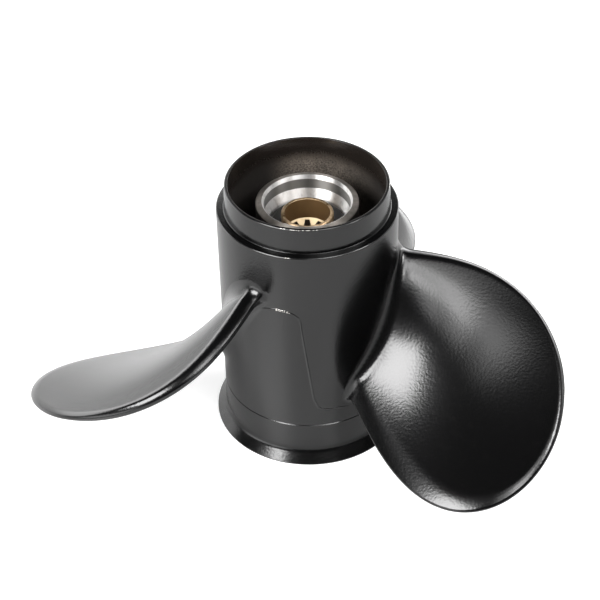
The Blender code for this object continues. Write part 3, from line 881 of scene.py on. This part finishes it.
def spline_bar():
    """A toothed bar: as wide as the grooves at its ridges, thinner than the bore between."""
    pitch = 2 * math.pi / SPLINE_COUNT
    half = pitch * SPLINE_GROOVE_SHARE / 2
    valley = SPLINE_TIP_RADIUS - BAR_VALLEY_DEPTH
    rear = SLEEVE_BOTTOM - BAR_PAST_REAR
    corners = ((-half - SPLINE_GROOVE_DRAFT, valley), (-half, SPLINE_ROOT_RADIUS))
    corners += ((half, SPLINE_ROOT_RADIUS), (half + SPLINE_GROOVE_DRAFT, valley))
    work = bmesh.new()
    outline = []
    for tooth in range(SPLINE_COUNT):
        centre = math.pi / 2 + tooth * pitch
        for offset, radius in corners:
            angle = centre + offset
            corner = (radius * math.cos(angle), radius * math.sin(angle), rear)
            outline.append(work.verts.new(corner))
    base = work.faces.new(outline)
    bar = bmesh.ops.extrude_face_region(work, geom=[base])
    raised = [item for item in bar["geom"] if isinstance(item, bmesh.types.BMVert)]
    bmesh.ops.translate(work, vec=(0, 0, SPLINE_TOP + BAR_PAST_TOP - rear), verts=raised)
    bmesh.ops.recalc_face_normals(work, faces=work.faces)
    mesh = bpy.data.meshes.new("spline_bar")
    work.to_mesh(mesh)
    work.free()
    bar_object = bpy.data.objects.new("spline_bar", mesh)
    bpy.context.scene.collection.objects.link(bar_object)
    return bar_object


profile = [
    (SLEEVE_RADIUS - SLEEVE_BEVEL, SLEEVE_TOP),
    (SLEEVE_RADIUS, SLEEVE_TOP - SLEEVE_BEVEL),
    (SLEEVE_RADIUS, SLEEVE_BOTTOM + SLEEVE_BEVEL),
    (SLEEVE_RADIUS - SLEEVE_BEVEL, SLEEVE_BOTTOM),
    (SPLINE_TIP_RADIUS, SLEEVE_BOTTOM),
    (SPLINE_TIP_RADIUS, SPLINE_SHOULDER_FOOT),
    (SLEEVE_MOUTH_RADIUS, SPLINE_TOP),
]
round_centre = (SLEEVE_MOUTH_RADIUS + SLEEVE_MOUTH_ROUND, SLEEVE_TOP - SLEEVE_MOUTH_ROUND)
profile += arc(round_centre, SLEEVE_MOUTH_ROUND, math.pi, math.pi / 2, 4)
sleeve = new_piece("brass_sleeve", turned(profile), make_brass(), SLEEVE_EDGE_ANGLE)
cutter = spline_bar()
cut = sleeve.modifiers.new("splines", "BOOLEAN")
cut.object = cutter
cut.solver = "EXACT"
evaluated = sleeve.evaluated_get(bpy.context.evaluated_depsgraph_get())
grooved = bpy.data.meshes.new_from_object(evaluated)
sleeve.modifiers.remove(cut)
sleeve.data = grooved
grooved.set_sharp_from_angle(angle=SLEEVE_EDGE_ANGLE)
bpy.data.objects.remove(cutter)
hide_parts("splined_sleeve")


# Studio: a glossy white board for a floor, a little over-exposed. A strong softbox stands at the
# left, a bank of small soft ones goes from above the camera round to the right, and pale panels
# stand behind and at both sides. Past the board the camera sees plain white.
FLOOR_SIZE = 6.0
FLOOR_DROP = 0.1 * MM
FLOOR_WHITE = (0.72, 0.72, 0.72, 1)
FLOOR_ROUGHNESS = 0.32
FLOOR_GLOW = 0.6
STUDIO_MIDDLE = Vector((60, -50, 50)) * MM
SOFTBOX_DISTANCE = 0.9
KEY_PLACE = (-143.1 * DEGREE, 38.1 * DEGREE, 14.4 * DEGREE)
KEY_SIZE = (0.54, 0.44)
KEY_RADIANCE = 20.0
KEY_EDGE = (0.12, 0.14)
FILL_SIZE = (0.42, 0.23)
FILL_EDGE = (0.35, 0.35)

# The bank: each one's direction and elevation in degrees, and its radiance
FILL_BANK = (
    (-82, 47, 3.8), (-82, 59, 4.0), (-82, 72, 2.0), (-60, 47, 13.3), (-60, 59, 9.2), (-60, 72, 2.3),
    (-38, 59, 2.6), (-16, 47, 25.5), (-16, 59, 1.6),
)
CEILING_LIGHT = 0.05
PANEL_FADE = 12

# The panels: first and last direction in degrees, where each fades in and out upwards as the
# height of a unit direction, and its radiance
WALL_PANELS = (
    (88, 172, (-0.2, -0.15), (0.26, 0.14), 1.8),
    (88, 172, (0.14, 0.26), (0.55, 0.40), 5.7),
    (-172, -118, (-0.2, -0.15), (0.26, 0.14), 3.7),
    (32, 76, (-0.2, -0.15), (0.26, 0.14), 7.3),
    (0, 76, (0.14, 0.26), (0.55, 0.40), 2.5),
)

floor_mesh = bpy.data.meshes.new("floor")
work = bmesh.new()
bmesh.ops.create_grid(work, x_segments=1, y_segments=1, size=FLOOR_SIZE / 2)
bmesh.ops.translate(work, vec=(0, 0, -FLOOR_DROP), verts=work.verts)
work.to_mesh(floor_mesh)
work.free()
floor = bpy.data.objects.new("floor", floor_mesh)
bpy.context.scene.collection.objects.link(floor)
board, tree, shader = new_material("glossy_white_board")
shader.inputs["Base Color"].default_value = FLOOR_WHITE
shader.inputs["Roughness"].default_value = FLOOR_ROUGHNESS
shader.inputs["Emission Color"].default_value = (1, 1, 1, 1)
seen = add_node(tree, "ShaderNodeLightPath").outputs["Is Camera Ray"]
connect(tree, shader, emission_strength=maths(tree, "MULTIPLY", seen, FLOOR_GLOW))
floor_mesh.materials.append(board)


def add_softbox(name, azimuth, elevation, roll, size, radiance, soft_edge):
    """A lit panel that faces the studio's middle and fades over its edges."""
    width, height = size
    light = bpy.data.lights.new(name, "AREA")
    light.shape = "RECTANGLE"
    light.size = width
    light.size_y = height
    light.energy = math.pi * width * height * radiance
    light.use_nodes = True
    tree = light.node_tree
    across = add_node(tree, "ShaderNodeNewGeometry").outputs["Parametric"]
    parts = add_node(tree, "ShaderNodeSeparateXYZ", {0: across}).outputs
    glow = 1.0
    for part, edge in zip((parts["X"], parts["Y"]), soft_edge):
        from_middle = maths(tree, "ABSOLUTE", maths(tree, "SUBTRACT", part, 0.5))
        from_edge = maths(tree, "SUBTRACT", 0.5, from_middle)
        glow = maths(tree, "MULTIPLY", glow, fade(tree, from_edge, 0.0, edge))
    tree.links.new(glow, tree.nodes["Emission"].inputs["Strength"])
    panel = bpy.data.objects.new(name, light)
    bpy.context.scene.collection.objects.link(panel)
    level = math.cos(elevation)
    outward = Vector((level * math.cos(azimuth), level * math.sin(azimuth), math.sin(elevation)))
    roll_turn = Matrix.Rotation(-roll, 4, "Z").to_quaternion()
    panel.rotation_mode = "QUATERNION"
    panel.rotation_quaternion = outward.to_track_quat("Z", "Y") @ roll_turn
    panel.location = STUDIO_MIDDLE + outward * SOFTBOX_DISTANCE


add_softbox("key_softbox", *KEY_PLACE, KEY_SIZE, KEY_RADIANCE, KEY_EDGE)
for number, (azimuth, elevation, radiance) in enumerate(FILL_BANK):
    place = (azimuth * DEGREE, elevation * DEGREE, 0.0)
    add_softbox(f"fill_softbox_{number + 1}", *place, FILL_SIZE, radiance, FILL_EDGE)

world = bpy.data.worlds.new("studio")
bpy.context.scene.world = world
world.use_nodes = True
tree = world.node_tree
direction = add_node(tree, "ShaderNodeTexCoord").outputs["Generated"]
parts = add_node(tree, "ShaderNodeSeparateXYZ", {0: direction}).outputs
bearing = maths(tree, "MULTIPLY", maths(tree, "ARCTAN2", parts["Y"], parts["X"]), 1 / DEGREE)
strength = CEILING_LIGHT
for start, end, low, high, radiance in WALL_PANELS:
    rise = (start - PANEL_FADE, start + PANEL_FADE)
    fall = (end + PANEL_FADE, end - PANEL_FADE)
    across = within(tree, bearing, rise, fall)
    panel = maths(tree, "MULTIPLY", across, within(tree, parts["Z"], low, high))
    strength = maths(tree, "MULTIPLY_ADD", panel, radiance, strength)
seen = add_node(tree, "ShaderNodeLightPath").outputs["Is Camera Ray"]
tree.links.new(mix_value(tree, seen, strength, 1.0), tree.nodes["Background"].inputs["Strength"])
tree.nodes["Background"].inputs["Color"].default_value = (1, 1, 1, 1)
bpy.context.scene.view_settings.view_transform = "Standard"
